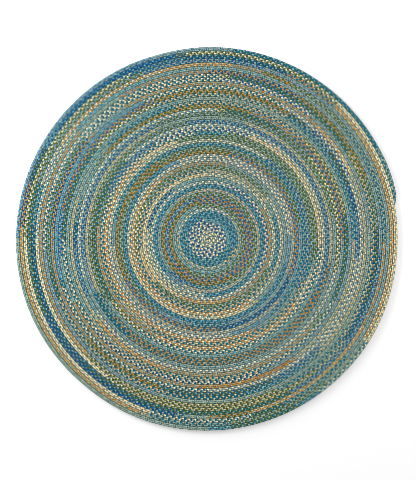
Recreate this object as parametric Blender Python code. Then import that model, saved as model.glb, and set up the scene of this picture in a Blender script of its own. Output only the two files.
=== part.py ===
"""Round braided rug, 5 ft 6 in across, lying flat.

One long flat braid is coiled outwards from the middle, and each turn is laced
to the turn inside it, so the whole rug is one piece of cloth. The solid has
the coil's true outline, the rounded rows with the seams between them, and the
thin tucked end of the braid at the rim. Metres, +Z up, and the origin under
the middle of the rug's box, on the floor.
"""
import math

import bmesh
import bpy

# The coil. A direction is in degrees, clockwise from +Y as seen from above.
ROW_PITCH = 0.01667         # width of the flat braid, and the step from turn to turn
COIL_START = 0.5            # turns from the coil's own centre to where the rows begin
COIL_END = 49.75            # turns to the tip of the braid
TIP_DIRECTION = 79.4        # where the tip lies at the rim
SEGMENTS = 48               # columns of faces in a turn
TIP_COLUMNS = (0.014, 0.033, 0.056)     # extra columns, in metres before the tip

# Heights
CROWN_HEIGHT = 0.011        # middle of a row, which is the rug's thickness
SEAM_HEIGHT = 0.0075        # the laced seam between two rows

# How far the rug lies from a true round
OVAL = 0.0019               # added along the long way and taken off across it
OVAL_DIRECTION = 53.0
BULGES = (                  # soft swells and dips of the rim
    # direction, half-width in degrees, outward in metres
    (93.0, 11.0, -0.0035),
    (122.0, 11.0, 0.0026),
    (220.0, 11.0, -0.0030),
    (251.0, 11.0, 0.0018),
    (346.0, 11.0, -0.0030),
)

# The end of the braid, which swells a little and then runs out to a point
TIP_WIDTHS = (
    # metres before the tip, width as a share of ROW_PITCH
    (0.000, 0.15),
    (0.014, 0.42),
    (0.033, 0.74),
    (0.056, 0.94),
    (0.110, 1.10),
    (0.190, 1.16),
    (0.330, 1.00),
)

WELD_DISTANCE = 0.00005
YARN_COLOUR = (0.33, 0.37, 0.30, 1.0)
YARN_ROUGHNESS = 0.95


def clear_scene():
    for old in list(bpy.data.objects):
        bpy.data.objects.remove(old, do_unlink=True)


def direction_of(turn):
    """Direction from the coil's centre, in degrees, after so many turns."""
    return TIP_DIRECTION + 360.0 * (turn - COIL_END)


def rim_radius():
    return ROW_PITCH * (COIL_END + 1)


def unevenness(direction, radius):
    """Outward shift of a point, full at the rim and fading to the middle."""
    shift = OVAL * math.cos(2 * math.radians(direction - OVAL_DIRECTION))
    for centre, half_width, outward in BULGES:
        away = (direction - centre + 180.0) % 360.0 - 180.0
        shift += outward * math.exp(-(away / half_width) ** 2)
    return shift * (radius / rim_radius()) ** 3


def braid_width(turn):
    """Width of the braid, which changes only near its tip."""
    before_tip = (COIL_END - turn) * 2 * math.pi * rim_radius()
    for (near, near_share), (far, far_share) in zip(TIP_WIDTHS, TIP_WIDTHS[1:]):
        if before_tip <= far:
            along = (before_tip - near) / (far - near)
            return ROW_PITCH * (near_share + along * (far_share - near_share))
    return ROW_PITCH


def column_turns():
    """Turns at which the braid gets a column of points, the same in every turn."""
    in_one_turn = [k / SEGMENTS for k in range(SEGMENTS)]
    rim_length = 2 * math.pi * rim_radius()
    in_one_turn += [(COIL_END - back / rim_length) % 1 for back in TIP_COLUMNS]
    turns = [whole + part for whole in range(int(COIL_END) + 1) for part in in_one_turn]
    return sorted(turn for turn in turns if COIL_START <= turn <= COIL_END)


def coil_point(turn, across):
    """A point of the braid: across runs from 0 at its inner edge to 1 at its outer."""
    radius = ROW_PITCH * turn + braid_width(turn) * across
    direction = direction_of(turn)
    radius += unevenness(direction, radius)
    angle = math.radians(direction)
    height = CROWN_HEIGHT if across == 0.5 else SEAM_HEIGHT
    return radius * math.sin(angle), radius * math.cos(angle), height


def coil_the_braid(mesh):
    """A long flat grid, three points wide, wound up and welded along its seams."""
    turns = column_turns()
    last = len(turns) - 1
    bmesh.ops.create_grid(mesh, x_segments=last, y_segments=2, size=1.0)
    for vert in mesh.verts:
        column = round((vert.co.x + 1) / 2 * last)
        across = (1 - round(vert.co.y)) / 2
        vert.co = coil_point(turns[column], across)
    bmesh.ops.remove_doubles(mesh, verts=mesh.verts, dist=WELD_DISTANCE)


def fill_the_heart(mesh):
    """The start of the braid, tucked in, rises in the middle like the rows."""
    open_edges = [edge for edge in mesh.edges if edge.is_boundary]
    inner = [e for e in open_edges if max(v.co.xy.length for v in e.verts) < 2 * ROW_PITCH]
    heart = bmesh.ops.contextual_create(mesh, geom=inner)["faces"]
    middle = bmesh.ops.poke(mesh, faces=heart)["verts"][0]
    middle.co = (0.0, 0.0, CROWN_HEIGHT)


def close_the_underside(mesh):
    """The rim goes straight down to a flat underside."""
    rim = [edge for edge in mesh.edges if edge.is_boundary]
    skirt = bmesh.ops.extrude_edge_only(mesh, edges=rim)["geom"]
    for item in skirt:
        if isinstance(item, bmesh.types.BMVert):
            item.co.z = 0.0
    foot = [e for e in mesh.edges if e.is_boundary]
    bmesh.ops.contextual_create(mesh, geom=foot)


def centre_on_box(mesh):
    """Puts the middle of the rug's box over the origin."""
    for axis in (0, 1):
        places = [vert.co[axis] for vert in mesh.verts]
        middle = (min(places) + max(places)) / 2
        for vert in mesh.verts:
            vert.co[axis] -= middle


def yarn_material():
    material = bpy.data.materials.new("braided_yarn")
    material.use_nodes = True
    shader = material.node_tree.nodes["Principled BSDF"]
    shader.inputs["Base Color"].default_value = YARN_COLOUR
    shader.inputs["Roughness"].default_value = YARN_ROUGHNESS
    shader.inputs["Metallic"].default_value = 0.0
    return material


def make_rug(collection):
    mesh = bmesh.new()
    coil_the_braid(mesh)
    fill_the_heart(mesh)
    close_the_underside(mesh)
    centre_on_box(mesh)
    bmesh.ops.recalc_face_normals(mesh, faces=mesh.faces)

    data = bpy.data.meshes.new("braided_rug")
    mesh.to_mesh(data)
    mesh.free()
    data.materials.append(yarn_material())
    rug = bpy.data.objects.new("braided_rug", data)
    collection.objects.link(rug)
    return rug


clear_scene()
parts = bpy.data.collections.new("braided_rug_parts")
bpy.context.scene.collection.children.link(parts)
make_rug(parts)
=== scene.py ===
# %% [markdown]
# # A round braided rug
# The rug is one flat braid of three strands, 132 metres long, coiled outwards
# from the middle and laced turn to turn. The solid from the CAD model gives its
# place and size. This script lays the real strands where that solid is.

# %% Load the frame
import math

import bpy
import numpy as np
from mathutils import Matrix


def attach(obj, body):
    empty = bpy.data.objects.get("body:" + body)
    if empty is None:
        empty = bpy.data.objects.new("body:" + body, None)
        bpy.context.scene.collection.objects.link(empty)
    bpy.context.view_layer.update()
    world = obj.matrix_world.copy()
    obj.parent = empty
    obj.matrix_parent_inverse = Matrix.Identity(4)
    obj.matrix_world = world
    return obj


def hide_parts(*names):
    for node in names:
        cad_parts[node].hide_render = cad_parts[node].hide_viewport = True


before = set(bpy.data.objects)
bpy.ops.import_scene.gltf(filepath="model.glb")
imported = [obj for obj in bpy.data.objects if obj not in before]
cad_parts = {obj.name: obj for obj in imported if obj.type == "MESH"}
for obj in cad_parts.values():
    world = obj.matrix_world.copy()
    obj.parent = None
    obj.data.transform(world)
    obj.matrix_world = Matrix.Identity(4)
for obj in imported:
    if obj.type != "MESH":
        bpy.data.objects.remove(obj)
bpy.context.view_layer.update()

# %% [markdown]
# ## The sizes of the coil
# These are the sizes that the solid was made from, in metres. The braid's inner
# edge lies one row further out after each turn, so a place along the braid is
# told in turns. Directions are clockwise from +Y.

# %% Sizes of the coil
ROW_PITCH = 0.01667         # width of the braid, and the step from turn to turn
COIL_END = 49.75            # turns to the tip of the braid
TIP_DIRECTION = 79.4        # degrees
RUG_THICKNESS = 0.011
OVAL, OVAL_DIRECTION = 0.0019, 53.0
BULGES = (                  # soft swells and dips of the rim
    # direction, half-width in degrees, outward in metres
    (93.0, 11.0, -0.0035),
    (122.0, 11.0, 0.0026),
    (220.0, 11.0, -0.0030),
    (251.0, 11.0, 0.0018),
    (346.0, 11.0, -0.0030),
)
TIP_WIDTHS = (              # the end of the braid swells a little, then runs out
    # metres before the tip, width as a share of ROW_PITCH
    (0.000, 0.15),
    (0.014, 0.42),
    (0.033, 0.74),
    (0.056, 0.94),
    (0.110, 1.10),
    (0.190, 1.16),
    (0.330, 1.00),
)
RIM_RADIUS = ROW_PITCH * (COIL_END + 1)


def rim_points():
    """The rug's outline, from the same formulas as the solid, about the coil's own middle."""
    turn = np.linspace(COIL_END - 1, COIL_END, 721)
    before_tip = (COIL_END - turn) * 2 * math.pi * RIM_RADIUS
    backs, shares = zip(*TIP_WIDTHS)
    radius = ROW_PITCH * (turn + np.interp(before_tip, backs, shares))
    direction = TIP_DIRECTION + 360 * (turn - COIL_END)
    shift = OVAL * np.cos(2 * np.radians(direction - OVAL_DIRECTION))
    for centre, half_width, outward in BULGES:
        away = (direction - centre + 180) % 360 - 180
        shift += outward * np.exp(-((away / half_width) ** 2))
    radius += shift * (radius / RIM_RADIUS) ** 3
    return radius * np.sin(np.radians(direction)), radius * np.cos(np.radians(direction))


# The solid's box is centred on the origin, so the coil's middle is a little off it.
COIL_MIDDLE = [-(values.min() + values.max()) / 2 for values in rim_points()]
print("coil's middle:", [round(value, 4) for value in COIL_MIDDLE])

# %% [markdown]
# ## The sizes of the braid
# In a flat three-strand braid each strand swings from edge to edge and back,
# over one neighbour and under the other. One full swing is the lay. The strands
# are a third of a lay apart. Six points to a lay are enough for a strand: one on
# top and two below for each half swing.

# %% Sizes of the braid
LAY = 0.027                 # length of braid in which a strand swings out and back
STEPS_PER_LAY = 6           # points along a strand in a lay
FIRST_STEP = 0.75           # of a step, so that one point lies on top and two below
SWING = 0.0050              # how far a strand's middle swings from the row's middle
STRAND_WIDTH = 0.0100
STRAND_THICKNESS = RUG_THICKNESS / 2
STRAND_SIDES = 5
FLAT_TOP = math.cos(math.pi / STRAND_SIDES)  # height of the profile's flat top, in radii
HEART = 0.3                 # the braid's middle starts so many rows from the coil's middle
BRAID_START = HEART - 0.5   # the same, as a place in turns


def steps_at(turn):
    """How many steps along the braid its place in turns is."""
    length = math.pi * ROW_PITCH * ((turn + 0.5) ** 2 - HEART**2)
    return round(length / LAY * STEPS_PER_LAY - FIRST_STEP)


print("braid:", round(steps_at(COIL_END) / STEPS_PER_LAY * LAY, 1), "metres")

# %% [markdown]
# ## The yarns and where they are spliced
# Eleven yarns are spliced end to end along the three strands, mostly a metre or
# less of each. The lists say where along the braid each yarn starts, in turns in
# from the tip at the rim, and it goes on until the next one. They were written
# row by row. The third strand is quiet almost everywhere. The colours could
# be painted on in stripes instead, but only whole strands of one colour give the
# checks and arrows that three colours make in a braid.

# %% Yarns and splices
YARN_COLOURS = {            # linear values
    "cream": (0.81, 0.705, 0.45),
    "honey": (0.67, 0.505, 0.235),
    "orange": (0.53, 0.245, 0.04),
    "olive": (0.088, 0.147, 0.02),
    "teal": (0.001, 0.155, 0.23),
    "sea": (0.105, 0.325, 0.415),
    "slate": (0.163, 0.3, 0.37),
    "denim": (0.045, 0.19, 0.38),
    "royal": (0.008, 0.14, 0.345),
    "navy": (0.001, 0.09, 0.23),
    "sage": (0.238, 0.355, 0.308),
}
SPLICES = (                 # for each strand: turns in from the tip, and the yarn from there on
    """
    0.00 sage, 0.05 teal, 0.20 slate, 0.27 denim, 0.47 sage, 0.72 sea, 0.74 olive, 0.80 sea,
    0.82 cream, 1.24 royal, 1.37 sea, 1.39 olive, 1.42 orange, 1.66 sage, 1.88 orange, 2.15 navy,
    2.24 denim, 2.29 cream, 2.76 olive, 2.79 sage, 3.10 slate, 3.42 teal, 3.54 navy, 3.69 sage,
    3.72 orange, 3.97 sage, 4.14 orange, 4.38 cream, 4.42 teal, 4.80 slate, 5.00 sage, 5.15 sea,
    5.36 cream, 5.64 honey, 5.87 navy, 5.98 sage, 6.03 orange, 6.31 sage, 6.36 orange, 6.59 honey,
    6.79 sage, 6.87 honey, 7.06 teal, 7.20 cream, 7.48 slate, 7.67 sage, 8.11 cream, 8.36 olive,
    8.53 honey, 8.76 sea, 8.82 sage, 8.84 honey, 9.06 orange, 9.31 slate, 9.35 orange, 9.67 royal,
    9.85 cream, 10.29 sea, 10.52 cream, 10.95 slate, 11.00 navy, 11.13 orange, 11.44 sea, 11.54 orange,
    11.82 honey, 11.97 sea, 12.13 honey, 12.28 cream, 12.36 teal, 12.47 cream, 12.78 slate, 13.00 sage,
    13.56 honey, 13.76 cream, 13.90 teal, 14.00 honey, 14.26 sea, 14.38 sage, 14.42 honey, 14.67 sage,
    14.97 orange, 15.36 sage, 15.45 navy, 15.48 sea, 15.56 cream, 16.08 slate, 16.13 teal, 16.20 cream,
    16.52 sage, 17.08 slate, 17.54 teal, 17.61 orange, 17.94 honey, 18.17 sage, 18.29 honey,
    18.54 sage, 18.58 orange, 18.90 slate, 19.33 sage, 19.91 cream, 20.35 teal, 20.56 cream,
    21.30 slate, 21.45 orange, 21.87 sage, 21.94 olive, 22.19 sea, 22.24 cream, 22.46 honey, 22.91 sea,
    22.97 sage, 23.27 honey, 23.33 orange, 23.80 sage, 24.12 cream, 24.76 sea, 25.48 honey, 25.86 sea,
    26.00 sage, 26.31 orange, 26.74 navy, 26.90 orange, 27.39 sage, 27.60 slate, 27.80 sage,
    27.91 honey, 28.00 cream, 28.28 sea, 28.98 cream, 29.81 sage, 30.18 orange, 30.82 cream,
    31.07 sage, 31.39 cream, 31.51 honey, 31.90 sea, 32.06 honey, 32.58 sage, 32.90 cream, 33.22 honey,
    33.65 orange, 34.06 sage, 34.32 slate, 34.44 cream, 35.71 sea, 36.58 slate, 36.64 honey,
    37.33 slate, 37.67 teal, 37.79 sage, 38.31 orange, 39.28 slate, 39.56 orange, 40.64 sage,
    41.88 honey, 42.10 cream, 42.42 honey, 42.92 sea, 45.24 cream
    """,
    """
    0.00 teal, 0.20 slate, 0.47 sage, 0.72 teal, 0.88 honey, 1.00 cream, 1.10 olive, 1.25 navy,
    1.46 honey, 1.67 teal, 1.74 olive, 1.83 sage, 1.88 cream, 1.95 honey, 2.10 teal, 2.30 olive,
    2.47 cream, 2.67 teal, 2.86 slate, 3.17 royal, 3.28 olive, 3.54 royal, 3.70 sage, 3.73 olive,
    3.76 honey, 3.89 sage, 3.97 teal, 4.08 olive, 4.17 sage, 4.20 honey, 4.26 cream, 4.38 slate,
    4.42 sea, 4.46 navy, 4.60 olive, 4.80 royal, 4.96 slate, 5.15 sage, 5.28 sea, 5.47 cream,
    5.62 olive, 5.83 teal, 5.91 olive, 6.13 navy, 6.22 slate, 6.31 sage, 6.56 honey, 6.59 olive,
    6.79 teal, 7.02 olive, 7.21 teal, 7.34 sea, 7.42 teal, 7.48 slate, 7.67 sage, 7.98 slate,
    8.11 royal, 8.21 teal, 8.35 sea, 8.50 teal, 8.85 sage, 9.04 cream, 9.08 honey, 9.10 sage,
    9.36 navy, 9.46 slate, 9.58 olive, 9.79 slate, 10.04 royal, 10.10 slate, 10.14 teal, 10.29 sea,
    10.51 teal, 10.72 slate, 10.95 royal, 11.03 olive, 11.07 sage, 11.11 olive, 11.28 royal,
    11.49 sage, 11.71 orange, 11.82 sage, 11.97 teal, 12.28 olive, 12.47 teal, 12.58 navy, 12.78 slate,
    13.00 sage, 13.25 sea, 13.62 teal, 13.90 olive, 14.10 teal, 14.35 sage, 14.57 orange, 14.86 olive,
    14.88 slate, 14.97 royal, 15.11 slate, 15.17 olive, 15.38 sea, 15.42 teal, 15.47 royal,
    15.54 slate, 15.93 olive, 16.21 sea, 16.54 slate, 17.00 olive, 17.29 royal, 17.50 slate,
    17.54 teal, 17.94 sage, 18.54 teal, 18.90 royal, 19.25 olive, 19.56 sea, 19.92 sage, 20.12 sea,
    20.35 olive, 20.62 teal, 20.96 honey, 21.16 royal, 21.40 olive, 21.45 sage, 21.64 cream,
    21.92 sage, 22.20 teal, 22.57 sage, 22.63 teal, 22.94 olive, 23.27 cream, 23.79 slate, 23.89 royal,
    24.12 sage, 24.47 slate, 24.83 teal, 25.44 slate, 26.00 olive, 26.54 royal, 27.18 olive,
    27.62 slate, 27.69 teal, 27.76 slate, 28.31 teal, 28.92 slate, 29.40 sage, 29.50 honey, 29.68 sage,
    29.74 honey, 29.83 slate, 30.18 sage, 30.33 cream, 30.82 sage, 31.07 olive, 31.51 teal, 32.03 sage,
    32.22 teal, 32.49 honey, 32.58 olive, 32.90 sage, 33.22 cream, 33.65 honey, 33.78 sage, 34.06 sea,
    34.32 navy, 34.44 sage, 34.65 slate, 34.88 royal, 35.16 sea, 35.71 teal, 36.58 slate, 37.33 sage,
    37.58 royal, 37.67 sage, 37.79 olive, 38.81 royal, 40.26 olive, 41.28 sea, 42.81 teal, 44.90 sea,
    45.24 royal, 47.90 sage
    """,
    """
    0.00 sage, 1.25 sea, 1.42 sage, 4.60 slate, 4.69 sage, 7.14 slate, 7.20 sage, 8.68 teal, 8.76 sage,
    10.29 slate, 10.51 sage, 24.76 slate, 24.83 sage, 28.28 slate, 28.97 sage, 35.71 slate, 36.64 sage,
    42.92 slate, 44.40 sage
    """,
)


def stretches_of(yarn):
    """Where a yarn lies, as (strand, first step, last step)."""
    stretches = []
    for strand, splices in enumerate(SPLICES):
        last = steps_at(COIL_END)
        marks = [mark.split() for mark in splices.split(",")]
        ends = [steps_at(COIL_END - float(mark[0])) for mark in marks[1:]] + [steps_at(BRAID_START)]
        for (_, name), first in zip(marks, ends):
            if name == yarn:
                stretches.append((strand, first, last))
            last = first
    return stretches


for yarn in YARN_COLOURS:
    steps = sum(last - first for _, first, last in stretches_of(yarn))
    print(f"{yarn}: {steps / STEPS_PER_LAY * LAY:.0f} metres of braid")

# %% [markdown]
# ## Formulas in nodes
# A node tree needs one Math node for each step of a sum. They could be added one
# by one, but then nobody can read the sum. With this small class a formula can be
# written as a formula: each operator adds the node that does it.

# %% Helpers for node trees
class Term:
    """A number inside a node tree."""

    def __init__(self, tree, socket):
        self.tree, self.socket = tree, socket

    def math(self, operation, *others):
        made = self.tree.nodes.new("ShaderNodeMath")
        made.operation = operation
        for socket, value in zip(made.inputs, (self, *others)):
            plug(self.tree, value, socket)
        return Term(self.tree, made.outputs[0])

    def __add__(self, other):
        return self.math("ADD", other)

    def __sub__(self, other):
        return self.math("SUBTRACT", other)

    def __mul__(self, other):
        return self.math("MULTIPLY", other)

    def __truediv__(self, other):
        return self.math("DIVIDE", other)

    def __pow__(self, other):
        return self.math("POWER", other)


def plug(tree, value, socket):
    """Links a term or an output to a socket, or sets a plain value on it."""
    if isinstance(value, Term):
        value = value.socket
    if isinstance(value, bpy.types.NodeSocket):
        tree.links.new(value, socket)
    else:
        socket.default_value = value


def add_node(tree, kind, inputs=(), **settings):
    """Adds a node with its settings and {input name: value}, and returns the node."""
    made = tree.nodes.new(kind)
    for name, value in settings.items():
        setattr(made, name, value)
    for name, value in dict(inputs).items():
        plug(tree, value, made.inputs[name])
    return made


def new_tree(name, sizes):
    """An empty Geometry Nodes tree whose named inputs are these sizes, with their values."""
    tree = bpy.data.node_groups.new(name, "GeometryNodeTree")
    tree.interface.new_socket("Geometry", in_out="OUTPUT", socket_type="NodeSocketGeometry")
    tree.interface.new_socket("Geometry", in_out="INPUT", socket_type="NodeSocketGeometry")
    tree.interface.new_socket("Material", in_out="INPUT", socket_type="NodeSocketMaterial")
    for label, value in sizes.items():
        kind = "NodeSocketInt" if isinstance(value, int) else "NodeSocketFloat"
        tree.interface.new_socket(label, in_out="INPUT", socket_type=kind).default_value = value
    given = tree.nodes.new("NodeGroupInput").outputs
    terms = {label: Term(tree, given[label]) for label in sizes}
    position = add_node(tree, "GeometryNodeInputPosition").outputs[0]
    parts = add_node(tree, "ShaderNodeSeparateXYZ", {"Vector": position}).outputs
    return tree, given, terms, [Term(tree, part) for part in parts]


def end_tree(tree, geometry, material):
    """Makes copies real, sets the material and passes the result out of the tree."""
    real = add_node(tree, "GeometryNodeRealizeInstances", {"Geometry": geometry})
    dyed = add_node(tree, "GeometryNodeSetMaterial", {"Geometry": real.outputs[0], "Material": material})
    add_node(tree, "NodeGroupOutput", {"Geometry": dyed.outputs[0]})


def run_tree(tree, name, mesh, values):
    """Runs a tree on a mesh with {input name: value}, and returns an object with a plain mesh."""
    source = bpy.data.objects.new(name, mesh)
    bpy.context.scene.collection.objects.link(source)
    modifier = source.modifiers.new("nodes", "NODES")
    modifier.node_group = tree
    for item in tree.interface.items_tree:
        if item.in_out == "INPUT" and item.name in values:
            modifier[item.identifier] = values[item.name]
    evaluated = source.evaluated_get(bpy.context.evaluated_depsgraph_get())
    plain = bpy.data.meshes.new_from_object(evaluated)
    bpy.data.objects.remove(source)
    bpy.data.meshes.remove(mesh)
    made = bpy.data.objects.new(name, plain)
    bpy.context.scene.collection.objects.link(made)
    return made


# %% [markdown]
# ## Where a point of the coil lies
# The strands and the yarn deep in the braid follow the same coil, as the real
# braid does when it is laced turn to turn. Its radius grows evenly with the
# turns. The other terms make the rug a little oval and uneven at the rim, as a
# hand-laced one is, and they fade out towards the middle. A drawn spiral curve
# would do too, but a formula serves both pieces and the solid alike.

# %% The coil as a formula
COIL_SIZES = {"Row Pitch": ROW_PITCH, "Middle X": 0.0, "Middle Y": 0.0}
COIL_VALUES = {"Middle X": COIL_MIDDLE[0], "Middle Y": COIL_MIDDLE[1]}


def coil_place(size, turn, rows_out):
    """Terms for x and y, at so many turns and so many rows out from the braid's inner edge."""
    direction = (turn - COIL_END) * (2 * math.pi) + math.radians(TIP_DIRECTION)
    radius = ((turn + rows_out) * size["Row Pitch"]).math("MAXIMUM", 0.0)
    shift = ((direction - math.radians(OVAL_DIRECTION)) * 2).math("COSINE") * OVAL
    for centre, half_width, outward in BULGES:
        away = (direction - math.radians(centre)).math("WRAP", math.pi, -math.pi)
        shift = shift + (away * away / -math.radians(half_width) ** 2).math("EXPONENT") * outward
    radius = radius + (radius / RIM_RADIUS) ** 3 * shift
    x = radius * direction.math("SINE") + size["Middle X"]
    y = radius * direction.math("COSINE") + size["Middle Y"]
    return x, y


def width_share(tree, turn):
    """The braid's width as a share of a row. It changes only near the tip."""
    longest, widest = TIP_WIDTHS[-1][0], 2.0  # a float curve holds places and values up to 1
    before_tip = (turn * -1 + COIL_END) * (2 * math.pi * RIM_RADIUS)
    curve = add_node(tree, "ShaderNodeFloatCurve", {"Value": (before_tip / longest).math("MINIMUM", 1.0)})
    points = curve.mapping.curves[0].points
    for back, share in TIP_WIDTHS[1:-1]:
        points.new(back / longest, share / widest)
    for point, (back, share) in zip(points, TIP_WIDTHS):
        point.location = (back / longest, share / widest)
        point.handle_type = "VECTOR"
    curve.mapping.update()
    return Term(tree, curve.outputs[0]) * widest


# %% [markdown]
# ## The strands
# On the real rug a strand is a soft roll of yarn. A short length of braid could
# be modelled and repeated along the coil, but its copies would gape near the
# middle, and a splice could only fall between two of them. So each strand is laid
# in full. Its stretches come in as chains of points that hold only their step
# along the braid and the strand's number. The tree works out where each point
# lies, turns the chains into curves and sweeps a flattened profile along them.
# A little unevenness from point to point, with a fixed seed, keeps the braid
# from looking machine-made.

# %% Tree for a strand
STRAND_SIZES = {
    **COIL_SIZES,
    "Lay": LAY,
    "Swing": SWING,
    "Strand Width": STRAND_WIDTH,
    "Strand Thickness": STRAND_THICKNESS,
    "Unevenness": 0.0003,
    "Seed": 7,
}
TILE_LAYS = 7               # the yarn's pattern repeats after this many lays
STRAND_SHIFT = 2 + 1 / 3    # lays from one strand's pattern to the next; 1/3 is their lag in the braid
TIP_FLATTENING = 0.6        # how much of the braid's height goes with its width at the tip


def strand_tree():
    """A tree that turns chains of (step, strand) points into strands in their places."""
    tree, given, size, (step, strand, _) = new_tree("lay a strand in the braid", STRAND_SIZES)
    lays = (step + FIRST_STEP) / STEPS_PER_LAY
    turn = (lays * size["Lay"] / (size["Row Pitch"] * math.pi) + HEART**2).math("SQRT") - 0.5
    swing = (lays + strand / 3).math("FRACT") * (2 * math.pi)
    share = width_share(tree, turn)
    plump = share.math("MINIMUM", 1.0)
    sideways = swing.math("SINE") * size["Swing"] / size["Row Pitch"]
    x, y = coil_place(size, turn, (sideways + 0.5) * share)
    # The swing's double lifts the strand over its neighbour on its way to each edge.
    # At the strand's points it is 1 on top and -0.5 below.
    rise = (size["Strand Thickness"] * -1 + RUG_THICKNESS) / 1.5
    lowest = size["Strand Thickness"] / (1 + FLAT_TOP)
    z = ((swing * 2).math("SINE") + 0.5) * rise + lowest
    z = z * (plump * TIP_FLATTENING + (1 - TIP_FLATTENING))

    point_id = strand * steps_at(COIL_END) + step
    uneven = add_node(tree, "FunctionNodeRandomValue", {"ID": point_id, "Seed": size["Seed"]},
                      data_type="FLOAT_VECTOR")
    for socket, sign in zip((uneven.inputs["Min"], uneven.inputs["Max"]), (-1, 1)):
        span = size["Unevenness"] * sign
        corner = add_node(tree, "ShaderNodeCombineXYZ", {"X": span, "Y": span})
        tree.links.new(corner.outputs[0], socket)
    place = add_node(tree, "ShaderNodeCombineXYZ", {"X": x, "Y": y, "Z": z})

    geometry = given["Geometry"]
    for name, value in (("along", (lays + strand * STRAND_SHIFT) / TILE_LAYS), ("plump", plump)):
        store = add_node(tree, "GeometryNodeStoreNamedAttribute",
                         {"Geometry": geometry, "Name": name, "Value": value})
        geometry = store.outputs[0]
    moved = add_node(tree, "GeometryNodeSetPosition", {
        "Geometry": geometry,
        "Position": place.outputs[0],
        "Offset": uneven.outputs[0],
    })
    curves = add_node(tree, "GeometryNodeMeshToCurve", {"Mesh": moved.outputs[0]})
    level = add_node(tree, "GeometryNodeSetCurveNormal", {"Curve": curves.outputs[0]}, mode="Z_UP")

    circle = add_node(tree, "GeometryNodeCurvePrimitiveCircle", {"Resolution": STRAND_SIDES, "Radius": 1.0})
    index = Term(tree, add_node(tree, "GeometryNodeInputIndex").outputs[0])
    counted = add_node(tree, "GeometryNodeStoreNamedAttribute", {
        "Geometry": circle.outputs[0],
        "Name": "around",
        "Value": index / STRAND_SIDES,
    })
    # The profile's -Y side comes out on top. This turn puts the middle of a flat side there.
    upright = add_node(tree, "GeometryNodeTransform", {
        "Geometry": counted.outputs[0],
        "Rotation": (0.0, 0.0, math.pi / 2 / STRAND_SIDES),
    })
    flat = add_node(tree, "ShaderNodeCombineXYZ", {"X": size["Strand Width"] / 2, "Y": lowest})
    profile = add_node(tree, "GeometryNodeTransform", {
        "Geometry": upright.outputs[0],
        "Scale": flat.outputs[0],
    })
    plump_again = add_node(tree, "GeometryNodeInputNamedAttribute", {"Name": "plump"})
    swept = add_node(tree, "GeometryNodeCurveToMesh", {
        "Curve": level.outputs[0],
        "Profile Curve": profile.outputs[0],
        "Scale": plump_again.outputs[0],
        "Fill Caps": True,
    })
    smooth = add_node(tree, "GeometryNodeSetShadeSmooth", {"Geometry": swept.outputs[0]})
    end_tree(tree, smooth.outputs[0], given["Material"])
    return tree


lay_strand = strand_tree()
print("nodes in the strand's tree:", len(lay_strand.nodes))

# %% [markdown]
# ## A map around the strand
# The yarn's material needs to know how far along and how far around its strand
# a point is, as fibres follow their strand. An unwrapped map would lose that. The
# tree leaves both as attributes, and they become a UV map here. One unit along
# is a tile of seven lays, and one unit around is once around.

# %% UV map of a strand
TILE_SLACK = 1e-4           # of a tile; a face that starts just before a tile counts as in it


def map_strand(mesh):
    """Turns the attributes that the tree left on a strand into its UV map."""
    def values(name):
        found = np.empty(len(mesh.vertices), np.float32)
        mesh.attributes[name].data.foreach_get("value", found)
        return found

    corners = np.empty(len(mesh.loops), np.int32)
    mesh.loops.foreach_get("vertex_index", corners)
    sizes = np.empty(len(mesh.polygons), np.int32)
    mesh.polygons.foreach_get("loop_total", sizes)
    face = np.repeat(np.arange(len(sizes)), sizes)
    first_corner = np.cumsum(sizes) - sizes
    along, around = values("along")[corners], values("around")[corners]
    # Where a side face closes the ring, its corners at 0 belong at 1. Caps have more corners.
    widest = np.maximum.reduceat(around, first_corner)[face]
    around[(sizes[face] == 4) & (widest - around > 0.5)] += 1.0
    # Whole tiles are taken off face by face, so that every face lies in or beside tile 0.
    along -= np.floor(np.minimum.reduceat(along, first_corner) + TILE_SLACK)[face]
    layer = mesh.uv_layers.new(name="OFBake")
    layer.uv.foreach_set("vector", np.stack([along, around], axis=1).astype(np.float32).ravel())
    for name in ("along", "around", "plump"):
        mesh.attributes.remove(mesh.attributes[name])


# %% [markdown]
# ## The yarn's look
# A strand is a soft bundle of fine yarns with a slight twist, and a matt and
# hairy surface with paler and darker flecks. Real fibres would be far too many,
# so the material draws them and gives them a little relief. The quiet yarns are
# heathered: spun from dark teal and pale hair. Light and shade are painted on as
# well. Each row shows two columns of stitches painted pale, the yarn that dives
# between them and at the seams is painted dark as shade, and each strand's top is
# painted lighter than its flanks. The strand's own formula tells where that is.
# The pattern has to meet itself around the strand and from tile to tile, so the
# fine yarns are a whole number of waves, and the flecks are noise read off a ring
# in four dimensions.

# %% Yarn material
FINE_YARNS_AROUND = 9       # waves around the strand
FINE_YARNS_ALONG = 9        # waves in a tile's length, from the twist
FINE_YARNS_WANDER = 4.0     # radians by which the flecks push the waves aside
FLECKS_ALONG = 6.0          # radius of the ring of noise; a smaller one stretches the flecks
FLECKS_AROUND = 0.6
FLECKS_PLACE = 4.7          # where in the noise the rings lie; another place gives other flecks
FLECK_DETAIL = 1.5
PLAIN_CONTRAST = 3.2        # of the flecks
# The ends of each yarn's tone: its flecks of dark and pale hair and the painted light and shade all mix
# between them.
PLAIN_HAIR_AND_SHADE = (0.10, 0.10, 0.10), (1.58, 1.58, 1.58)  # darkest and palest, in shares of the colour
HEATHERED = ("sea", "slate", "denim", "sage")
HEATHER_CONTRAST = 7.0
HEATHER_HAIR_AND_SHADE = (0.0, 0.18, 0.20), (1.84, 1.64, 1.58)
TOP_OF_STRAND = 0.7         # of the way around the profile, where it faces up
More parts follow.
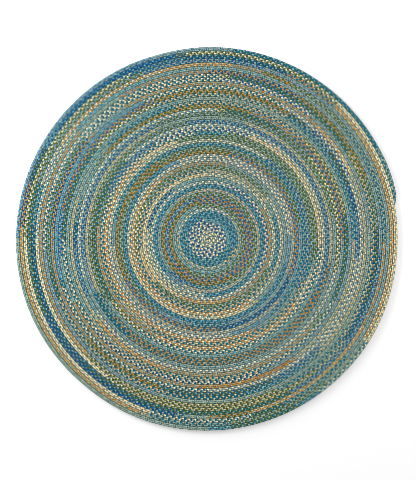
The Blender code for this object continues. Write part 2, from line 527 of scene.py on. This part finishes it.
# How much each thing lightens the yarn: fine yarns, flecks, the painted highlight on the
# strand's upward side, and the columns of stitches, painted pale with painted shade between.
FINE_SHARE, FLECK_SHARE, CROWN_HIGHLIGHT_SHARE, COLUMN_SHADE_SHARE = 0.05, 0.40, 0.12, 0.45
YARN_ROUGHNESS = 0.95
YARN_SPECULAR = 0.1
SHEEN, SHEEN_ROUGHNESS = 0.10, 0.6
RELIEF = 0.0006             # depth of the grooves between fine yarns
FINE_RELIEF = 0.7           # the fine yarns' part in it, where the flecks' is 1


def wool(name, colour):
    """A material of one colour with the matt and soft surface of wool, and its shader."""
    material = bpy.data.materials.new(name)
    material.use_nodes = True
    material.diffuse_color = (*colour, 1.0)
    shader = material.node_tree.nodes["Principled BSDF"]
    shader.inputs["Base Color"].default_value = (*colour, 1.0)
    shader.inputs["Roughness"].default_value = YARN_ROUGHNESS
    shader.inputs["Specular IOR Level"].default_value = YARN_SPECULAR
    shader.inputs["Sheen Weight"].default_value = SHEEN
    shader.inputs["Sheen Roughness"].default_value = SHEEN_ROUGHNESS
    return material, shader


def yarn_material(name, colour, hair_and_shade, contrast):
    """Wool with the yarn's pattern and its painted light and shade. Its darkest and palest ends, of hair
    and shade alike, are given in shares of the colour.
    """
    material, shader = wool(name, colour)
    tree = material.node_tree
    uv = add_node(tree, "ShaderNodeUVMap", uv_map="OFBake")
    parts = add_node(tree, "ShaderNodeSeparateXYZ", {"Vector": uv.outputs[0]}).outputs
    along, around = (Term(tree, part) * (2 * math.pi) for part in parts[:2])
    # The radii of the rings set the flecks' size, so the noise itself keeps its scale.
    ring = add_node(tree, "ShaderNodeCombineXYZ", {
        "X": along.math("COSINE") * FLECKS_ALONG,
        "Y": along.math("SINE") * FLECKS_ALONG,
        "Z": around.math("COSINE") * FLECKS_AROUND,
    })
    noise = add_node(tree, "ShaderNodeTexNoise", {
        "Vector": ring.outputs[0],
        "W": around.math("SINE") * FLECKS_AROUND + FLECKS_PLACE,
        "Scale": 1.0,
        "Detail": FLECK_DETAIL,
    }, noise_dimensions="4D")
    fleck = Term(tree, noise.outputs[0])
    waves = around * FINE_YARNS_AROUND + along * FINE_YARNS_ALONG + fleck * FINE_YARNS_WANDER
    fine = waves.math("SINE") * 0.5 + 0.5
    strong_fleck = (fleck - 0.5) * contrast + 0.5
    from_top = around - TOP_OF_STRAND * 2 * math.pi
    # Painted light and shade: 1 on the strand's upward side, and 0 from a sixth of the way around it on
    # both sides.
    crown = (from_top.math("COSINE") * 2 - 1).math("MAXIMUM", 0.0)
    # The place across the braid, in metres from its middle. A slanting strand reaches less far.
    swing = along * TILE_LAYS
    slant = swing.math("COSINE") * (2 * math.pi * SWING / LAY)
    beside = from_top.math("SINE") * (-STRAND_WIDTH / 2) / (slant * slant + 1).math("SQRT")
    across = swing.math("SINE") * SWING + beside
    # Painted shade and highlight: dark where the yarn dives at the row's middle and at its seams, pale on
    # the two columns of stitches.
    column_shade = (across * (2 * math.pi / ROW_PITCH)).math("SINE").math("ABSOLUTE")
    tone = fine * FINE_SHARE + strong_fleck * FLECK_SHARE + crown * CROWN_HIGHLIGHT_SHARE + column_shade * COLUMN_SHADE_SHARE
    mix = add_node(tree, "ShaderNodeMix", {"Factor": tone}, data_type="RGBA")
    ends = [socket for socket in mix.inputs if socket.type == "RGBA"]
    for socket, shares in zip(ends, hair_and_shade):
        socket.default_value = (*(channel * share for channel, share in zip(colour, shares)), 1.0)
    mixed = next(socket for socket in mix.outputs if socket.type == "RGBA")
    plug(tree, mixed, shader.inputs["Base Color"])
    relief = add_node(tree, "ShaderNodeBump", {"Height": fine * FINE_RELIEF + fleck, "Distance": RELIEF})
    plug(tree, relief.outputs[0], shader.inputs["Normal"])
    return material


materials = {}
for yarn, colour in YARN_COLOURS.items():
    look = (HEATHER_HAIR_AND_SHADE, HEATHER_CONTRAST) if yarn in HEATHERED else (PLAIN_HAIR_AND_SHADE, PLAIN_CONTRAST)
    materials[yarn] = yarn_material(f"yarn_{yarn}", colour, *look)
print("yarn materials:", len(materials))

# %% [markdown]
# ## Laying the strands
# All stretches of one yarn make one piece, since they share its colour. Each
# stretch could be a piece, as each is one length of yarn on the real rug, but
# hundreds of pieces are hard to handle. A piece has a limit on its triangles, so
# the yarn with more than that makes two.

# %% Strands
MOST_STEPS = 19000          # in a piece, with two triangles for each side of each step


def cut_in_pieces(stretches):
    """Shares stretches out so that no piece holds more than MOST_STEPS."""
    pieces, room = [[]], MOST_STEPS
    for strand, first, last in stretches:
        while last - first > room:
            pieces[-1].append((strand, last - room, last))
            last -= room
            pieces.append([])
            room = MOST_STEPS
        pieces[-1].append((strand, first, last))
        room -= last - first
    return pieces


def chains(name, stretches):
    """A mesh of point chains, one for each stretch. x is the step and y the strand."""
    points, edges = [], []
    for strand, first, last in stretches:
        start = len(points)
        points += [(step, strand, 0.0) for step in range(first, last + 1)]
        edges += [(n, n + 1) for n in range(start, len(points) - 1)]
    mesh = bpy.data.meshes.new(name)
    mesh.from_pydata(points, edges, [])
    return mesh


strands = []
for yarn, material in materials.items():
    for number, stretches in enumerate(cut_in_pieces(stretches_of(yarn)), 1):
        name = f"{yarn}_strands_{number}"
        values = {**COIL_VALUES, "Material": material}
        piece = run_tree(lay_strand, name, chains(name, stretches), values)
        map_strand(piece.data)
        strands.append(piece)
        print(f"{name}: {len(piece.data.loops) - 2 * len(piece.data.polygons)} triangles")

# %% [markdown]
# ## The yarn deep in the braid
# Between the strands one looks down on more yarn and never on the floor. Rounder
# strands would close the gaps too, with many more faces. So a thin sheet halfway
# up the rug stands for the yarn that lies deep. Its dark colour is painted shade,
# for the shade down between the strands. A flat grid, three points wide, is
# wound up by the coil's formula, and its edges are welded where turn meets turn.
# It starts a turn early, where all its points fall on the middle.

# %% Sheet of deep yarn
DEEP_SEGMENTS = 60          # columns in a turn
DEEP_ACROSS = (0.0, 0.5, 1.0)   # the points of a column: inner seam, middle of the row, outer seam
DEEP_SIZES = {
    **COIL_SIZES,
    "Seam Height": 0.0046,
    "Crown Height": 0.0060,
    "Thickness": 0.0015,
    "Rim Share": 0.5,       # how much of the outermost row it fills
    "Weld Distance": 0.00005,
}
# Painted shade: the yarns' colours darkened, as the deep yarn looks in the shade between the strands.
DEEP_SHADE_COLOUR = (0.11, 0.165, 0.165)


def deep_yarn_tree():
    """A tree that winds up a flat grid of (turns, place across) points into the sheet."""
    tree, given, size, (turn, across, _) = new_tree("wind up the deep yarn", DEEP_SIZES)
    # In the outermost turn it stops short of the rim, where it would show beside the strands.
    in_last_turn = turn.math("GREATER_THAN", COIL_END - 1 - 0.5 / DEEP_SEGMENTS)
    fill = in_last_turn * (size["Rim Share"] - 1) + 1
    x, y = coil_place(size, turn, across * width_share(tree, turn) * fill)
    crown = (size["Crown Height"] - size["Seam Height"]) * (across * math.pi).math("SINE")
    # Before turn 0, points of a column fall on the coil's middle. With no crown they meet there.
    z = crown * turn.math("GREATER_THAN", 0.0) + size["Seam Height"]
    place = add_node(tree, "ShaderNodeCombineXYZ", {"X": x, "Y": y, "Z": z})
    wound = add_node(tree, "GeometryNodeSetPosition",
                     {"Geometry": given["Geometry"], "Position": place.outputs[0]})
    welded = add_node(tree, "GeometryNodeMergeByDistance",
                      {"Geometry": wound.outputs[0], "Distance": size["Weld Distance"]})
    down = add_node(tree, "ShaderNodeCombineXYZ", {"Z": size["Thickness"] * -1})
    lower = add_node(tree, "GeometryNodeExtrudeMesh", {
        "Mesh": welded.outputs[0],
        "Offset": down.outputs[0],
        "Offset Scale": 1.0,
        "Individual": False,
    })
    # The extruded faces are turned, so that their normals point outwards, and join the first ones.
    turned = add_node(tree, "GeometryNodeFlipFaces", {"Mesh": lower.outputs[0]})
    both = add_node(tree, "GeometryNodeJoinGeometry")
    tree.links.new(turned.outputs[0], both.inputs[0])
    tree.links.new(welded.outputs[0], both.inputs[0])
    closed = add_node(tree, "GeometryNodeMergeByDistance",
                      {"Geometry": both.outputs[0], "Distance": size["Weld Distance"]})
    end_tree(tree, closed.outputs[0], given["Material"])
    return tree


def long_grid(name, turns, across):
    """A flat grid whose x is the place along the braid in turns and y the place across it."""
    wide = len(across)
    points = [(turn, side, 0.0) for turn in turns for side in across]
    faces = [
        (start + j, start + wide + j, start + wide + j + 1, start + j + 1)
        for start in range(0, len(points) - wide, wide)
        for j in range(wide - 1)
    ]
    mesh = bpy.data.meshes.new(name)
    mesh.from_pydata(points, [], faces)
    return mesh


columns = [COIL_END - n / DEEP_SEGMENTS for n in range(round((COIL_END + 1) * DEEP_SEGMENTS), -1, -1)]
deep_shade_material, _ = wool("deep_yarn", DEEP_SHADE_COLOUR)
deep_yarn = run_tree(deep_yarn_tree(), "deep_yarn", long_grid("deep_yarn", columns, DEEP_ACROSS),
                     {**COIL_VALUES, "Material": deep_shade_material})
print("deep yarn:", len(deep_yarn.data.polygons), "faces,",
      [round(value, 4) for value in deep_yarn.dimensions])

# %% [markdown]
# ## Telling the frame about the pieces
# The strands and the deep yarn take the solid's place and ride on the body
# "root", and the solid is hidden.

# %% Bodies
print("pieces:", len(strands) + 1)
for piece in (*strands, deep_yarn):
    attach(piece, "root")
    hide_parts("braided_rug")

# %% [markdown]
# ## The floor
# The floor is pale and plain and much wider than the picture. It is a stage for
# the rug and no part of it.

# %% Floor
FLOOR_WIDTH = 30.0
FLOOR_COLOUR = (0.98, 0.98, 0.98)
FLOOR_ROUGHNESS = 0.9
bpy.ops.mesh.primitive_plane_add(size=FLOOR_WIDTH)
floor = bpy.context.object
floor.name = "floor"
floor_material = bpy.data.materials.new("floor")
floor_material.use_nodes = True
floor_shader = floor_material.node_tree.nodes["Principled BSDF"]
floor_shader.inputs["Base Color"].default_value = (*FLOOR_COLOUR, 1.0)
floor_shader.inputs["Roughness"].default_value = FLOOR_ROUGHNESS
floor.data.materials.append(floor_material)
print("floor:", FLOOR_WIDTH, "metres wide")

# %% [markdown]
# ## The light
# A bright sky gives soft light from all around. A large lamp stands low on the
# left and a weaker one on the right. Their light comes in at a slant, so it
# models the strands a little and throws hardly any shadow beside so thin a rug.

# %% Light
SKY_STRENGTH = 0.72
SKY_COLOUR = (1.0, 1.0, 1.0)
LAMP_SIZE = 2.0
LAMPS = (
    # place in metres, power in watts
    ((-4.4, 2.6, 1.2), 400.0),
    ((2.8, 1.6, 1.0), 50.0),
)
world = bpy.data.worlds.new("studio")
bpy.context.scene.world = world
world.use_nodes = True
world.node_tree.nodes["Background"].inputs["Color"].default_value = (*SKY_COLOUR, 1.0)
world.node_tree.nodes["Background"].inputs["Strength"].default_value = SKY_STRENGTH
for place, power in LAMPS:
    lamp = bpy.data.objects.new("lamp", bpy.data.lights.new("lamp", "AREA"))
    lamp.data.energy = power
    lamp.data.size = LAMP_SIZE
    lamp.location = place
    # A lamp shines along its own -Z, so its Z points away from the rug.
    lamp.rotation_euler = lamp.location.to_track_quat("Z", "Y").to_euler()
    bpy.context.scene.collection.objects.link(lamp)
    print(f"lamp of {power:.0f} W at", place)

# %% [markdown]
# ## The camera
# The camera looks straight down from nearly six metres, through a long lens, as a
# catalogue photograph does. Its height follows from the lens and from how much
# of the floor the picture shows. The Standard view keeps colours as they are,
# where a film-like one would dull them.

# %% Camera
PICTURE_HEIGHT = 2.095      # metres of floor from the picture's lower edge to its upper edge
PICTURE_MIDDLE = (-0.0003, -0.0013)  # from the coil's middle
LENS, SENSOR = 100.0, 36.0
PIXEL_BLUR = 0.5            # in pixels; a crisp picture keeps the small crossings clear
camera = bpy.data.objects.new("camera", bpy.data.cameras.new("camera"))
camera.data.lens, camera.data.sensor_width = LENS, SENSOR
camera.data.sensor_fit = "AUTO"
camera.location = (
    COIL_MIDDLE[0] + PICTURE_MIDDLE[0],
    COIL_MIDDLE[1] + PICTURE_MIDDLE[1],
    PICTURE_HEIGHT * LENS / SENSOR + RUG_THICKNESS,
)
bpy.context.scene.collection.objects.link(camera)
bpy.context.scene.camera = camera
bpy.context.scene.view_settings.view_transform = "Standard"
bpy.context.scene.cycles.filter_width = PIXEL_BLUR
print("camera at", [round(value, 3) for value in camera.location])
